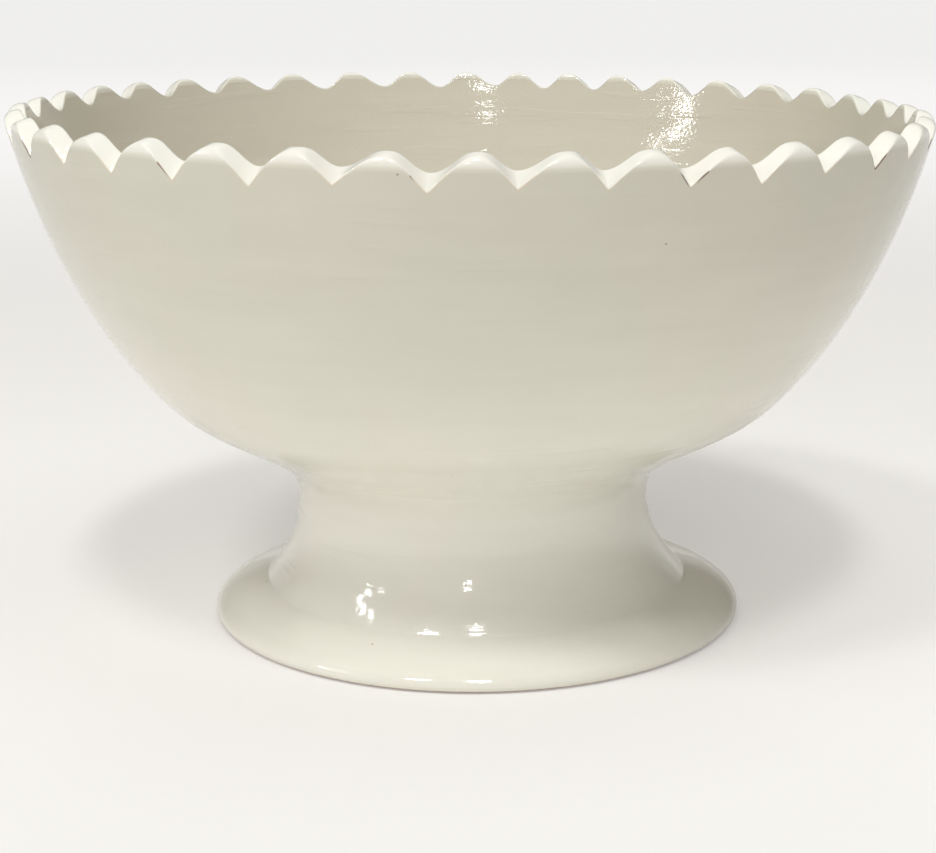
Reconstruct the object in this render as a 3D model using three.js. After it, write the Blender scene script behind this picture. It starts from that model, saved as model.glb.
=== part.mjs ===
// A footed ceramic dish: a thrown bowl whose rim is cut into scallops, luted with slip and two coils
// of soft clay onto a hollow pedestal that was thrown by itself, under one white glaze.
// Millimetres, +Z up, with the origin at the centre of the ring that the foot rests on.
import * as THREE from "three";

// Rim, at the outer edge of a scallop's tip
const RIM_RADIUS = 155.1;
const RIM_HEIGHT = 175.4; // above the table

// Pedestal foot, from its narrow neck down and out to its edge
const NECK_RADIUS = 61.4;
const TRUMPET_FLARE = 14.1; // neck to the ridge where the trumpet meets the flange
const TRUMPET_RISE = 29.2; // ridge up to the narrowest part of the neck
const TRUMPET_SLOPE = 39; // degrees above level, at the ridge
const TRUMPET_LOW_REACH = 9; // length of the curve's handle at the ridge
const TRUMPET_HIGH_REACH = 14; // length of the curve's handle at the neck
const RIDGE_STEP = 2.2; // height of the small step below the ridge
const RIDGE_SPREAD = 3.4; // width of that step
const FLANGE_WIDTH = 6.7; // sloping top of the flange, from the step to its rounded edge
const FLANGE_FALL = 2.6; // drop over that width
const EDGE_TOP_TURN = 7; // width of the rounded edge above its widest line
const EDGE_TOP_HEIGHT = 5.3; // height of the rounded edge above its widest line
const EDGE_FOOT_TURN = 4.3; // width of the rounded edge below its widest line
const EDGE_FOOT_HEIGHT = 2.7; // height of the widest line above the table
const RESTING_RING_WIDTH = 9;
const PEDESTAL_WALL = 9;
const HOLLOW_MOUTH_SLOPE = 45; // degrees above level, where the hollow meets the resting ring
const HOLLOW_LOW_REACH = 12; // length of the hollow's curve handle at its mouth
const HOLLOW_HIGH_REACH = 16; // length of the hollow's curve handle at the neck

// Joint between the pedestal and the bowl
const LEDGE_RISE = 6; // neck up to the ledge that carries the outer coil
const LEDGE_FLARE = 0.8; // how far the ledge stands out past the neck
const COLLAR_WALL = 5; // upright collar inside the outer coil
const COIL_HEIGHT = 10; // ledge up to the bowl's flat underside
const COIL_FLARE = 7.1; // how far the outer coil spreads from the ledge to the bowl
const COIL_LOW_REACH = 5; // length of the outer coil's curve handle at the ledge
const COIL_HIGH_REACH = 6; // length of the outer coil's curve handle at the bowl
const COIL_SLOPE = 38; // degrees above level, where the outer coil runs onto the bowl
const SLIP_THICKNESS = 1;
const INNER_COIL_SIZE = 7; // leg of the fillet inside the pedestal
const INNER_COIL_HOLLOW = 2.2; // how far a thumb pressed the fillet's face in
const CLEARANCE = 0.3; // between curved faces of two pieces

// Bowl, from its flat underside up to the rim
const SHOULDER_SPAN = 36.7; // edge of the flat underside out to the turn of the wall
const SHOULDER_RISE = 21.3; // flat underside up to the turn of the wall
const UNDERSIDE_SLOPE = 27.5; // degrees above level, beside the flat underside
const SHOULDER_SLOPE = 44.5; // degrees above level, at the turn of the wall
const RIM_SLOPE = 75.8; // degrees above level, at the rim
const UNDERSIDE_REACH = 15; // curve handles, from the underside up to the rim
const SHOULDER_LOW_REACH = 9;
const SHOULDER_HIGH_REACH = 34.5;
const RIM_REACH = 40;
const BOWL_WALL = 7.6;
const RIM_WALL = 6.6;
const FLOOR_THICKNESS = 9.5;
const FLOOR_REACH = 80; // length of the level curve handle at the middle of the floor

// Scallops cut into the rim
const SCALLOPS = 39;
const FIRST_SCALLOP = -90.7; // degrees round from +X
const OUTER_NOTCH = 9; // depth of the sharp notch in the outer edge
const INNER_NOTCH = 6; // depth of the round notch in the inner edge
const CROWN = 1; // how far the cut face swells between its two edges
const RIM_BAND = 5; // plain wall between the deepest notch and the courses below
const DRIFT_ONCE = 2.5; // degrees the hand-cut spacing wanders, once round the rim
const DRIFT_ONCE_PHASE = 130;
const DRIFT_TWICE = 0.95; // degrees it wanders twice round the rim
const DRIFT_TWICE_PHASE = 33;

// Fineness of the facets
const TURNED_COLUMNS = 60;
const WALL_COLUMNS = 2 * SCALLOPS;
const RIM_COLUMNS = 6 * SCALLOPS;
const CURVE_STEPS = 4;

// Heights of the main levels and radii that more than one piece uses
const ridgeHeight = EDGE_FOOT_HEIGHT + EDGE_TOP_HEIGHT + FLANGE_FALL + RIDGE_STEP;
const neckHeight = ridgeHeight + TRUMPET_RISE;
const ledgeHeight = neckHeight + LEDGE_RISE;
const seatHeight = ledgeHeight + COIL_HEIGHT;
const collarTop = seatHeight - SLIP_THICKNESS;
const ridgeRadius = NECK_RADIUS + TRUMPET_FLARE;
const flangeRadius = ridgeRadius + RIDGE_SPREAD;
const edgeRadius = flangeRadius + FLANGE_WIDTH;
const footRadius = edgeRadius + EDGE_TOP_TURN;
const restingRadius = footRadius - EDGE_FOOT_TURN;
const hollowRadius = NECK_RADIUS - PEDESTAL_WALL;
const collarRadius = hollowRadius + COLLAR_WALL;
const ledgeRadius = NECK_RADIUS + LEDGE_FLARE;
const seatRadius = ledgeRadius + COIL_FLARE;

const glaze = new THREE.MeshStandardMaterial({ color: 0xe3dfd1, roughness: 0.18, metalness: 0 });
const bareClay = new THREE.MeshStandardMaterial({ color: 0xc9a184, roughness: 0.85, metalness: 0 });

// A step of the given length at an angle in degrees above level, as radius and height.
function heading(degrees, length) {
  const angle = THREE.MathUtils.degToRad(degrees);
  return new THREE.Vector2(length * Math.cos(angle), length * Math.sin(angle));
}

// A curve from one point to another, leaving along one handle and arriving along the other.
function sweep(start, leaving, end, arriving) {
  return new THREE.CubicBezierCurve(start, start.clone().add(leaving), end.clone().sub(arriving), end);
}

// Carries an outline on to the next point, leaving along one handle and arriving along the other.
function sweepTo(outline, leaving, end, arriving) {
  const first = outline.currentPoint.clone().add(leaving);
  const second = end.clone().sub(arriving);
  outline.bezierCurveTo(first.x, first.y, second.x, second.y, end.x, end.y);
}

// Turns a closed outline of radius and height round the Z axis.
function turned(name, outline, material) {
  const geometry = new THREE.LatheGeometry(outline.getPoints(CURVE_STEPS), TURNED_COLUMNS);
  geometry.rotateX(Math.PI / 2);
  const mesh = new THREE.Mesh(geometry, material);
  mesh.name = name;
  return mesh;
}

// The hollow pedestal: resting ring, rounded edge, flange, trumpet, neck, ledge and collar.
function pedestalFoot() {
  const ridge = new THREE.Vector2(ridgeRadius, ridgeHeight);
  const neck = new THREE.Vector2(NECK_RADIUS, neckHeight);
  const hollowNeck = new THREE.Vector2(hollowRadius, neckHeight);
  const mouth = new THREE.Vector2(restingRadius - RESTING_RING_WIDTH, 0);
  const widest = EDGE_FOOT_HEIGHT;
  const outline = new THREE.Path();
  outline.moveTo(mouth.x, mouth.y);
  outline.lineTo(restingRadius, 0);
  outline.absellipse(restingRadius, widest, EDGE_FOOT_TURN, EDGE_FOOT_HEIGHT, -Math.PI / 2, 0, false);
  outline.absellipse(edgeRadius, widest, EDGE_TOP_TURN, EDGE_TOP_HEIGHT, 0, Math.PI / 2, false);
  outline.lineTo(flangeRadius, ridgeHeight - RIDGE_STEP);
  outline.lineTo(ridge.x, ridge.y);
  const climb = heading(180 - TRUMPET_SLOPE, TRUMPET_LOW_REACH);
  sweepTo(outline, climb, neck, heading(90, TRUMPET_HIGH_REACH));
  outline.quadraticCurveTo(NECK_RADIUS, ledgeHeight - LEDGE_RISE / 2, ledgeRadius, ledgeHeight);
  outline.lineTo(collarRadius, ledgeHeight);
  outline.lineTo(collarRadius, collarTop);
  outline.lineTo(hollowRadius, collarTop);
  outline.lineTo(hollowNeck.x, hollowNeck.y);
  const fall = heading(-HOLLOW_MOUTH_SLOPE, HOLLOW_LOW_REACH);
  sweepTo(outline, heading(-90, HOLLOW_HIGH_REACH), mouth, fall);
  return turned("pedestal_foot", outline, glaze);
}

// The ring of slip between the collar and the bowl.
function lutingSlip() {
  const outline = new THREE.Path();
  outline.moveTo(hollowRadius, collarTop);
  outline.lineTo(collarRadius, collarTop);
  outline.lineTo(collarRadius, seatHeight);
  outline.lineTo(hollowRadius, seatHeight);
  outline.lineTo(hollowRadius, collarTop);
  return turned("luting_slip", outline, bareClay);
}

// The coil pressed into the crease outside the joint and smoothed to a fillet.
function outerLutingCoil() {
  const inside = collarRadius + CLEARANCE;
  const low = new THREE.Vector2(ledgeRadius, ledgeHeight);
  const high = new THREE.Vector2(seatRadius, seatHeight);
  const outline = new THREE.Path();
  outline.moveTo(inside, ledgeHeight);
  outline.lineTo(low.x, low.y);
  sweepTo(outline, heading(90, COIL_LOW_REACH), high, heading(COIL_SLOPE, COIL_HIGH_REACH));
  outline.lineTo(inside, seatHeight);
  outline.lineTo(inside, ledgeHeight);
  return turned("outer_luting_coil", outline, glaze);
}

// The coil pressed into the corner inside the pedestal, with a thumbed face.
function innerLutingCoil() {
  const outside = hollowRadius - CLEARANCE;
  const inside = outside - INNER_COIL_SIZE;
  const foot = seatHeight - INNER_COIL_SIZE;
  const middle = new THREE.Vector2((inside + outside) / 2, (foot + seatHeight) / 2);
  const press = heading(45, INNER_COIL_HOLLOW);
  const outline = new THREE.Path();
  outline.moveTo(outside, foot);
  outline.lineTo(outside, seatHeight);
  outline.lineTo(inside, seatHeight);
  outline.quadraticCurveTo(middle.x + press.x, middle.y + press.y, outside, foot);
  return turned("inner_luting_coil", outline, bareClay);
}

// How far the hand-cut spacing has wandered at an angle round the rim, both in radians.
function handDrift(angle) {
  const once = Math.sin(angle + THREE.MathUtils.degToRad(DRIFT_ONCE_PHASE));
  const twice = Math.sin(2 * angle + THREE.MathUtils.degToRad(DRIFT_TWICE_PHASE));
  return THREE.MathUtils.degToRad(DRIFT_ONCE * once + DRIFT_TWICE * twice);
}

// A closed course of points round the bowl; place gives radius and height at a scallop's phase,
// which runs from 0 on one tip to 1 on the next.
function course(columns, place) {
  return Array.from({ length: columns }, (unused, column) => {
    const share = column / columns;
    const even = 2 * Math.PI * share + THREE.MathUtils.degToRad(FIRST_SCALLOP);
    const angle = even + handDrift(even);
    const point = place((share * SCALLOPS) % 1);
    return new THREE.Vector3(point.x * Math.cos(angle), point.x * Math.sin(angle), point.y);
  });
}

// Triangles between two closed courses, which may hold different numbers of points.
function bridge(first, second) {
  const corners = [];
  const at = (points, index) => points[index % points.length];
  let a = 0;
  let b = 0;
  while (a < first.length || b < second.length) {
    const alongFirst = b === second.length || (a + 1) * second.length < (b + 1) * first.length;
    const apex = alongFirst ? at(first, a + 1) : at(second, b + 1);
    if (apex !== at(first, a) && apex !== at(second, b)) corners.push(at(first, a), apex, at(second, b));
    if (alongFirst) a += 1;
    else b += 1;
  }
  return corners;
}

// The thrown bowl: flat underside, wall, scalloped rim and dished inside.
function bowl() {
  const seat = new THREE.Vector2(seatRadius, seatHeight);
  const shoulder = new THREE.Vector2(seatRadius + SHOULDER_SPAN, seatHeight + SHOULDER_RISE);
  const rim = new THREE.Vector2(RIM_RADIUS, RIM_HEIGHT);
  const floor = new THREE.Vector2(0, seatHeight + FLOOR_THICKNESS);
  const innerShoulder = shoulder.clone().add(heading(90 + SHOULDER_SLOPE, BOWL_WALL));
  const innerRim = rim.clone().add(heading(90 + RIM_SLOPE, RIM_WALL));
  const intoShoulder = heading(SHOULDER_SLOPE, SHOULDER_LOW_REACH);
  const outOfShoulder = heading(SHOULDER_SLOPE, SHOULDER_HIGH_REACH);
  const intoRim = heading(RIM_SLOPE, RIM_REACH);
  const underside = sweep(seat, heading(UNDERSIDE_SLOPE, UNDERSIDE_REACH), shoulder, intoShoulder);
  const outerWall = sweep(shoulder, outOfShoulder, rim, intoRim);
  const innerFloor = sweep(floor, heading(0, FLOOR_REACH), innerShoulder, intoShoulder);
  const innerWall = sweep(innerShoulder, outOfShoulder, innerRim, intoRim);

  // The outer notch is a sharp V between round tips, and the inner notch an even wave.
  const outerCut = (phase) => OUTER_NOTCH * (1 - Math.cos(Math.PI * Math.min(phase, 1 - phase)));
  const innerCut = (phase) => (INNER_NOTCH * (1 - Math.cos(2 * Math.PI * phase))) / 2;
  const lowered = (point, depth) => point.clone().sub(heading(RIM_SLOPE, depth));
  const crown = (phase) => {
    const across = lowered(rim, outerCut(phase)).lerp(lowered(innerRim, innerCut(phase)), 0.5);
    return across.add(heading(RIM_SLOPE, CROWN));
  };

  // Plain courses stop below the deepest notch, and the rim's own courses start there.
  const band = OUTER_NOTCH + RIM_BAND;
  const belowRim = (curve) => 1 - band / curve.getLength();
  const plain = (curve, share) => course(WALL_COLUMNS, () => curve.getPointAt(share));
  const fine = (curve) => course(RIM_COLUMNS, () => curve.getPointAt(belowRim(curve)));
  const steps = Array.from({ length: CURVE_STEPS }, (unused, step) => step / CURVE_STEPS);
  const courses = [
    [new THREE.Vector3(0, 0, seatHeight)],
    ...steps.map((share) => plain(underside, share)),
    ...steps.map((share) => plain(outerWall, share * belowRim(outerWall))),
    fine(outerWall),
    course(RIM_COLUMNS, (phase) => lowered(rim, outerCut(phase))),
    course(RIM_COLUMNS, crown),
    course(RIM_COLUMNS, (phase) => lowered(innerRim, innerCut(phase))),
    fine(innerWall),
    ...steps.toReversed().map((share) => plain(innerWall, share * belowRim(innerWall))),
    ...steps.slice(1).toReversed().map((share) => plain(innerFloor, share)),
    [new THREE.Vector3(0, 0, floor.y)],
  ];
  const corners = courses.slice(1).flatMap((upper, index) => bridge(courses[index], upper));
  const geometry = new THREE.BufferGeometry().setFromPoints(corners);
  geometry.computeVertexNormals();
  const mesh = new THREE.Mesh(geometry, glaze);
  mesh.name = "bowl";
  return mesh;
}

const dish = new THREE.Group();
dish.add(pedestalFoot(), lutingSlip(), outerLutingCoil(), innerLutingCoil(), bowl());

export default dish;
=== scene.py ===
"""Looks of a footed ceramic dish: a scalloped bowl luted to a hollow pedestal under one white glaze.

The classes below hold lengths in millimetres. Blender's objects are in metres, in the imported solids' frame.
"""

import logging
import math
from collections.abc import Mapping, Sequence
from dataclasses import dataclass, field
from enum import Enum
from typing import Any, Optional, Union

import bpy
import numpy as np
from mathutils import Matrix, Vector


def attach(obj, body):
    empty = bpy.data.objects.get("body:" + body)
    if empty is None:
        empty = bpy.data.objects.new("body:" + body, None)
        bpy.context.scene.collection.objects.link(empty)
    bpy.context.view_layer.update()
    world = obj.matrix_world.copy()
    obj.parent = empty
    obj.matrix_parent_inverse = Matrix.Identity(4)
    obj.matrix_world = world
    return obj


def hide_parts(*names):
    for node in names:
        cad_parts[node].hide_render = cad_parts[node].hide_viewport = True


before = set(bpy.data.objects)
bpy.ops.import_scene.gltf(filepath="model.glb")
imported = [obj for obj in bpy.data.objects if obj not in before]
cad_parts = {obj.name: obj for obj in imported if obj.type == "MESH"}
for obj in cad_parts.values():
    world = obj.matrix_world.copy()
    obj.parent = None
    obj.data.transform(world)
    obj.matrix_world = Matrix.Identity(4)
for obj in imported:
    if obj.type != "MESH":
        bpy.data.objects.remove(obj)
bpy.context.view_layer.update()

LOG = logging.getLogger("footed_dish")
MM = 0.001
BODY = "root"
# The viewer's side of the dish, in degrees round from the X axis
FRONT = -90.0
# The power of a rounding that is a part of a circle
ROUND = 2.0
# How many columns go round the pedestal and the coils
COLUMNS = 288

Array = np.ndarray
Pair = tuple[float, float]
Triple = tuple[float, float, float]
Colour = tuple[float, float, float, float]


class Slot(Enum):
    """The material slots, whose names the finishes take."""

    BOWL = "bowl_glaze"
    FOOT = "foot_glaze"
    COIL = "coil_glaze"
    HOLLOW = "hollow_glaze"


class Mark(Enum):
    """What the mesh tells the glaze about a place, as a value from 0 to 1 on each vertex."""

    EDGE = "cut_edge"
    BARE = "wiped_bare"
    POOL = "pooled_glaze"
    THIN = "thin_coat"
    # How deep the glaze is, with painted light and shade: the lip's top, lower outside wall and foot are
    # whiter, the upper wall and inside darker
    COAT_AND_LIGHT = "coat_depth_and_painted_light"


def heading(degrees: float, length: float) -> Array:
    """A step of a length at an angle above level, as radius and height."""
    angle = math.radians(degrees)
    return length * np.array([math.cos(angle), math.sin(angle)])


def smooth(value: Array, low: float, high: float) -> Array:
    """A soft step of a value, from 0 at low to 1 at high."""
    share = np.clip((value - low) / (high - low), 0.0, 1.0)
    return share * share * (3.0 - 2.0 * share)


def around() -> Array:
    """The angles of columns spaced evenly round the axis, in radians."""
    return np.linspace(0.0, 2.0 * math.pi, COLUMNS, endpoint=False)


def spread(profile: Array, angles: Array) -> Array:
    """A profile's rows, repeated for each column."""
    return np.repeat(profile[:, None, :], len(angles), axis=1)


def finger_rings(along: Array, pitch: float, turn: Array, *fades: Array) -> Array:
    """Waves that fingers or a rib leave in turning clay.

    Args:
        along: how far along the wall each point is.
        pitch: how far apart the waves are.
        turn: what the wheel's turn adds, in radians.
        fades: shares of the waves that are there.

    Returns:
        Heights from -1 to 1.
    """
    return np.sin(2.0 * math.pi * along / pitch + turn) * math.prod(fades)


def link(name: str, data: bpy.types.ID) -> bpy.types.Object:
    """Makes an object of a mesh, lamp or camera, links it to the scene and returns it."""
    made = bpy.data.objects.new(name, data)
    bpy.context.scene.collection.objects.link(made)
    return made


class Stroke:
    """An open line of radius and height that can be measured along."""

    DENSE = 160

    def __init__(self, start: Sequence[float]) -> None:
        """Starts the line.

        Args:
            start: radius and height of its first point.
        """
        self.points = np.array([start], float)

    def bend(self, *controls: Sequence[float]) -> "Stroke":
        """Carries the line on to a point.

        Args:
            controls: the points that it bends towards on the way, if any, and the point where it ends.

        Returns:
            The same line.
        """
        share = np.linspace(0.0, 1.0, self.DENSE)[1:, None]
        curve = [self.points[-1], *(np.array(point, float) for point in controls)]
        while len(curve) > 1:
            curve = [first + share * (second - first) for first, second in zip(curve, curve[1:])]
        self.points = np.vstack([self.points, curve[0]])
        return self

    def sweep(self, leaving: Array, end: Sequence[float], arriving: Array) -> "Stroke":
        """Carries the line on along a curve.

        Args:
            leaving: handle at the curve's start.
            end: radius and height where it ends.
            arriving: handle at the curve's end.

        Returns:
            The same line.
        """
        return self.bend(self.points[-1] + leaving, np.array(end, float) - arriving, end)

    @property
    def lengths(self) -> Array:
        """How far along the line each of its points is."""
        steps = np.linalg.norm(np.diff(self.points, axis=0), axis=1)
        return np.concatenate([[0.0], np.cumsum(steps)])

    @property
    def length(self) -> float:
        """The whole line's length."""
        return float(self.lengths[-1])

    def at(self, along: Union[float, Array]) -> Array:
        """The radius and height at one or more lengths along the line."""
        along = np.asarray(along, float)
        known = self.lengths
        return np.stack([np.interp(along, known, self.points[:, axis]) for axis in (0, 1)], axis=-1)

    def rows(self, step: float) -> Array:
        """Points spaced evenly along the line, its two ends among them.

        Args:
            step: about how far apart they are.

        Returns:
            An array of radius and height.
        """
        count = max(2, round(self.length / step) + 1)
        return self.at(np.linspace(0.0, self.length, count))


@dataclass
class Band:
    """Rows of points that each go once round the Z axis, and the marks on them."""

    points: Array
    marks: dict[Mark, Array] = field(default_factory=dict)

    @classmethod
    def turned(cls, rows: Array, angles: Array) -> "Band":
        """A band round the axis.

        Args:
            rows: radius and height of each row, or of every row and column where the columns differ.
            angles: the columns' places round the axis, in radians.

        Returns:
            The new band.
        """
        radius, height = np.moveaxis(spread(rows, angles) if rows.ndim == 2 else rows, -1, 0)
        return cls(np.stack([radius * np.cos(angles), radius * np.sin(angles), height], axis=-1))

    def mark(self, mark: Mark, values: Array) -> None:
        """Marks every vertex.

        Args:
            mark: what the values mean.
            values: one for each row, or for each row and column.
        """
        values = values[:, None] if values.ndim == 1 else values
        self.marks[mark] = np.broadcast_to(values, self.points.shape[:2])


@dataclass(frozen=True)
class Settling:
    """How the dish leaned and shifted while it dried and was fired."""

    rim_tilt: float = -0.0141
    seat: float = 58.0
    rim: float = 177.0
    foot_shift: float = 0.5
    bowl_shift: float = -0.6
    neck: float = 42.0
    oval: float = 0.0012
    oval_turn: float = 0.6

    def apply(self, points: Array) -> Array:
        """Moves points from where they were thrown to where they settled.

        Args:
            points: an array whose last axis is x, y and z.

        Returns:
            The moved points.
        """
        x, y, z = np.moveaxis(np.asarray(points, float), -1, 0)
        angle = np.arctan2(y, x)
        climb = np.clip((z - self.seat) / (self.rim - self.seat), 0.0, 1.0)
        swell = 1.0 + self.oval * climb * np.cos(2.0 * (angle - self.oval_turn))
        shift = self.foot_shift + (self.bowl_shift - self.foot_shift) * smooth(z, 0.0, self.neck)
        return np.stack([x * swell + shift, y * swell, z + self.rim_tilt * x * climb], axis=-1)


@dataclass
class Skin:
    """Bands that follow one another over a piece; a finer one's columns divide its neighbour's."""

    bands: list[Band]
    closed: bool = False
    first_pole: Optional[float] = None
    last_pole: Optional[float] = None
    settling: Settling = Settling()

    @staticmethod
    def _quads(lower: Array, upper: Array) -> list[tuple[int, ...]]:
        """Faces between two rows, the finer of which may have several points to each face.

        Args:
            lower: the first row's vertices.
            upper: the second row's vertices.

        Returns:
            The corners of each face.
        """
        count = min(len(lower), len(upper))
        first, second = (np.append(row, row[0]) for row in (lower, upper))
        low, high = len(lower) // count, len(upper) // count
        faces = []
        for at in range(count):
            along = first[at * low : (at + 1) * low + 1].tolist()
            back = second[at * high : (at + 1) * high + 1][::-1].tolist()
            faces.append(tuple(along + back))
        return faces

    def _faces(self, rows: list[Array], pole: int) -> list[tuple[int, ...]]:
        """The corners of every face.

        Args:
            rows: the vertices of each row.
            pole: the first vertex after those of the rows.

        Returns:
            Places in the list of vertices.
        """
        pairs = list(zip(rows, rows[1:] + rows[:1])) if self.closed else list(zip(rows, rows[1:]))
        faces = [face for lower, upper in pairs for face in self._quads(lower, upper)]
        if self.first_pole is not None:
            faces += [(int(b), int(a), pole) for a, b in zip(rows[0], np.roll(rows[0], -1))]
            pole += 1
        if self.last_pole is not None:
            faces += [(int(a), int(b), pole) for a, b in zip(rows[-1], np.roll(rows[-1], -1))]
        return faces

    def to_object(self, name: str) -> bpy.types.Object:
        """Makes a mesh object of the skin.

        Args:
            name: the object's name.

        Returns:
            The object, linked to the scene.
        """
        lines = [line for band in self.bands for line in band.points]
        starts = np.cumsum([0] + [len(line) for line in lines])
        rows = [np.arange(start, start + len(line)) for start, line in zip(starts, lines)]
        poles = [(end, at) for end, at in ((0, self.first_pole), (-1, self.last_pole)) if at is not None]
        tips = [[[*lines[end].mean(axis=0)[:2], height]] for end, height in poles]
        vertices = self.settling.apply(np.vstack(lines + tips)) * MM
        mesh = bpy.data.meshes.new(name)
        mesh.from_pydata(vertices.tolist(), [], self._faces(rows, int(starts[-1])))
        for mark in Mark:
            values = [band.marks.get(mark, np.zeros(band.points.shape[:2])) for band in self.bands]
            ends = [values[end][end].mean() for end, _ in poles]
            held = np.concatenate([value.ravel() for value in values] + [ends])
            attribute = mesh.attributes.new(mark.value, "FLOAT", "POINT")
            attribute.data.foreach_set("value", held.astype(np.float32))
        mesh.polygons.foreach_set("use_smooth", [True] * len(mesh.polygons))
        mesh.update()
        return link(name, mesh)


@dataclass(frozen=True)
class Drift:
    """One slow wave in the spacing of the hand-cut scallops."""

    turns: int
    degrees: float
    phase: float


@dataclass
class ScallopedRim:
    """The scallops cut into the rim by hand, as depths below the lip at each column round the bowl."""

    count: int = 39
    first: float = -90.86
    drifts: tuple[Drift, ...] = (
        Drift(1, 2.62, 127.0),
        Drift(2, 0.78, 19.0),
        Drift(3, 0.22, 22.0),
        Drift(4, 0.45, -125.0),
        Drift(5, 0.51, 142.0),
    )
    half_stations: tuple[float, ...] = (
        0.0, 0.045, 0.09, 0.135, 0.18, 0.225, 0.27, 0.32, 0.37, 0.415, 0.455, 0.483
    )
    tip_spread: float = 0.16
    notch_spread: float = 0.06
    notch_place: float = 0.445
    place_wander: float = 0.02
    outer_start: float = 0.3
    outer_notch: float = 9.6
    outer_power: float = 1.5
    inner_notch: float = 6.2
    inner_lag: float = 0.03
    notch_wander: float = 0.06
    tip_wander: float = 0.3
    seed: int = 11

    def __post_init__(self) -> None:
        """Works out each column's angle, phase and depths."""
        chance = np.random.default_rng(self.seed)
        half = np.array(self.half_stations)
        stations = np.concatenate([half, [0.5], 1.0 - half[:0:-1]])
        place = self.notch_place + self.place_wander * chance.uniform(-1.0, 1.0, self.count)
        deep = 1.0 + self.notch_wander * chance.normal(size=self.count)
        tips = self.tip_wander * chance.normal(size=self.count)
        self.phase = np.tile(stations, self.count)
        tooth = np.repeat(np.arange(self.count), len(stations))
        before = 2.0 * self.phase * place[tooth]
        after = place[tooth] + (2.0 * self.phase - 1.0) * (1.0 - place[tooth])
        turned = tooth + np.where(self.phase < 0.5, before, after)
        even = np.radians(FRONT + 360.0 / self.count * turned)
        wander = sum(d.degrees * np.sin(d.turns * even + math.radians(d.phase)) for d in self.drifts)
        self.angles = even + np.radians(wander + self.first - FRONT)
        tip = tips[tooth] + (np.roll(tips, -1) - tips)[tooth] * smooth(self.phase, 0.0, 1.0)
        towards = np.minimum(self.phase, 1.0 - self.phase)
        flank = np.hypot(towards, self.tip_spread) - np.hypot(0.5 - towards, self.notch_spread)
        high = math.hypot(0.5, self.tip_spread) - self.notch_spread
        low = self.tip_spread - math.hypot(0.5, self.notch_spread)
        flank = (flank - low) / (high - low)
        fall = (self.outer_notch - self.outer_start) * deep[tooth]
        self.outer_depth = tip + self.outer_start + fall * flank**self.outer_power
        turn = 2.0 * math.pi * (self.phase - self.inner_lag)
        self.inner_depth = tip + self.inner_notch * deep[tooth] * (1.0 - np.cos(turn)) / 2.0


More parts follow.
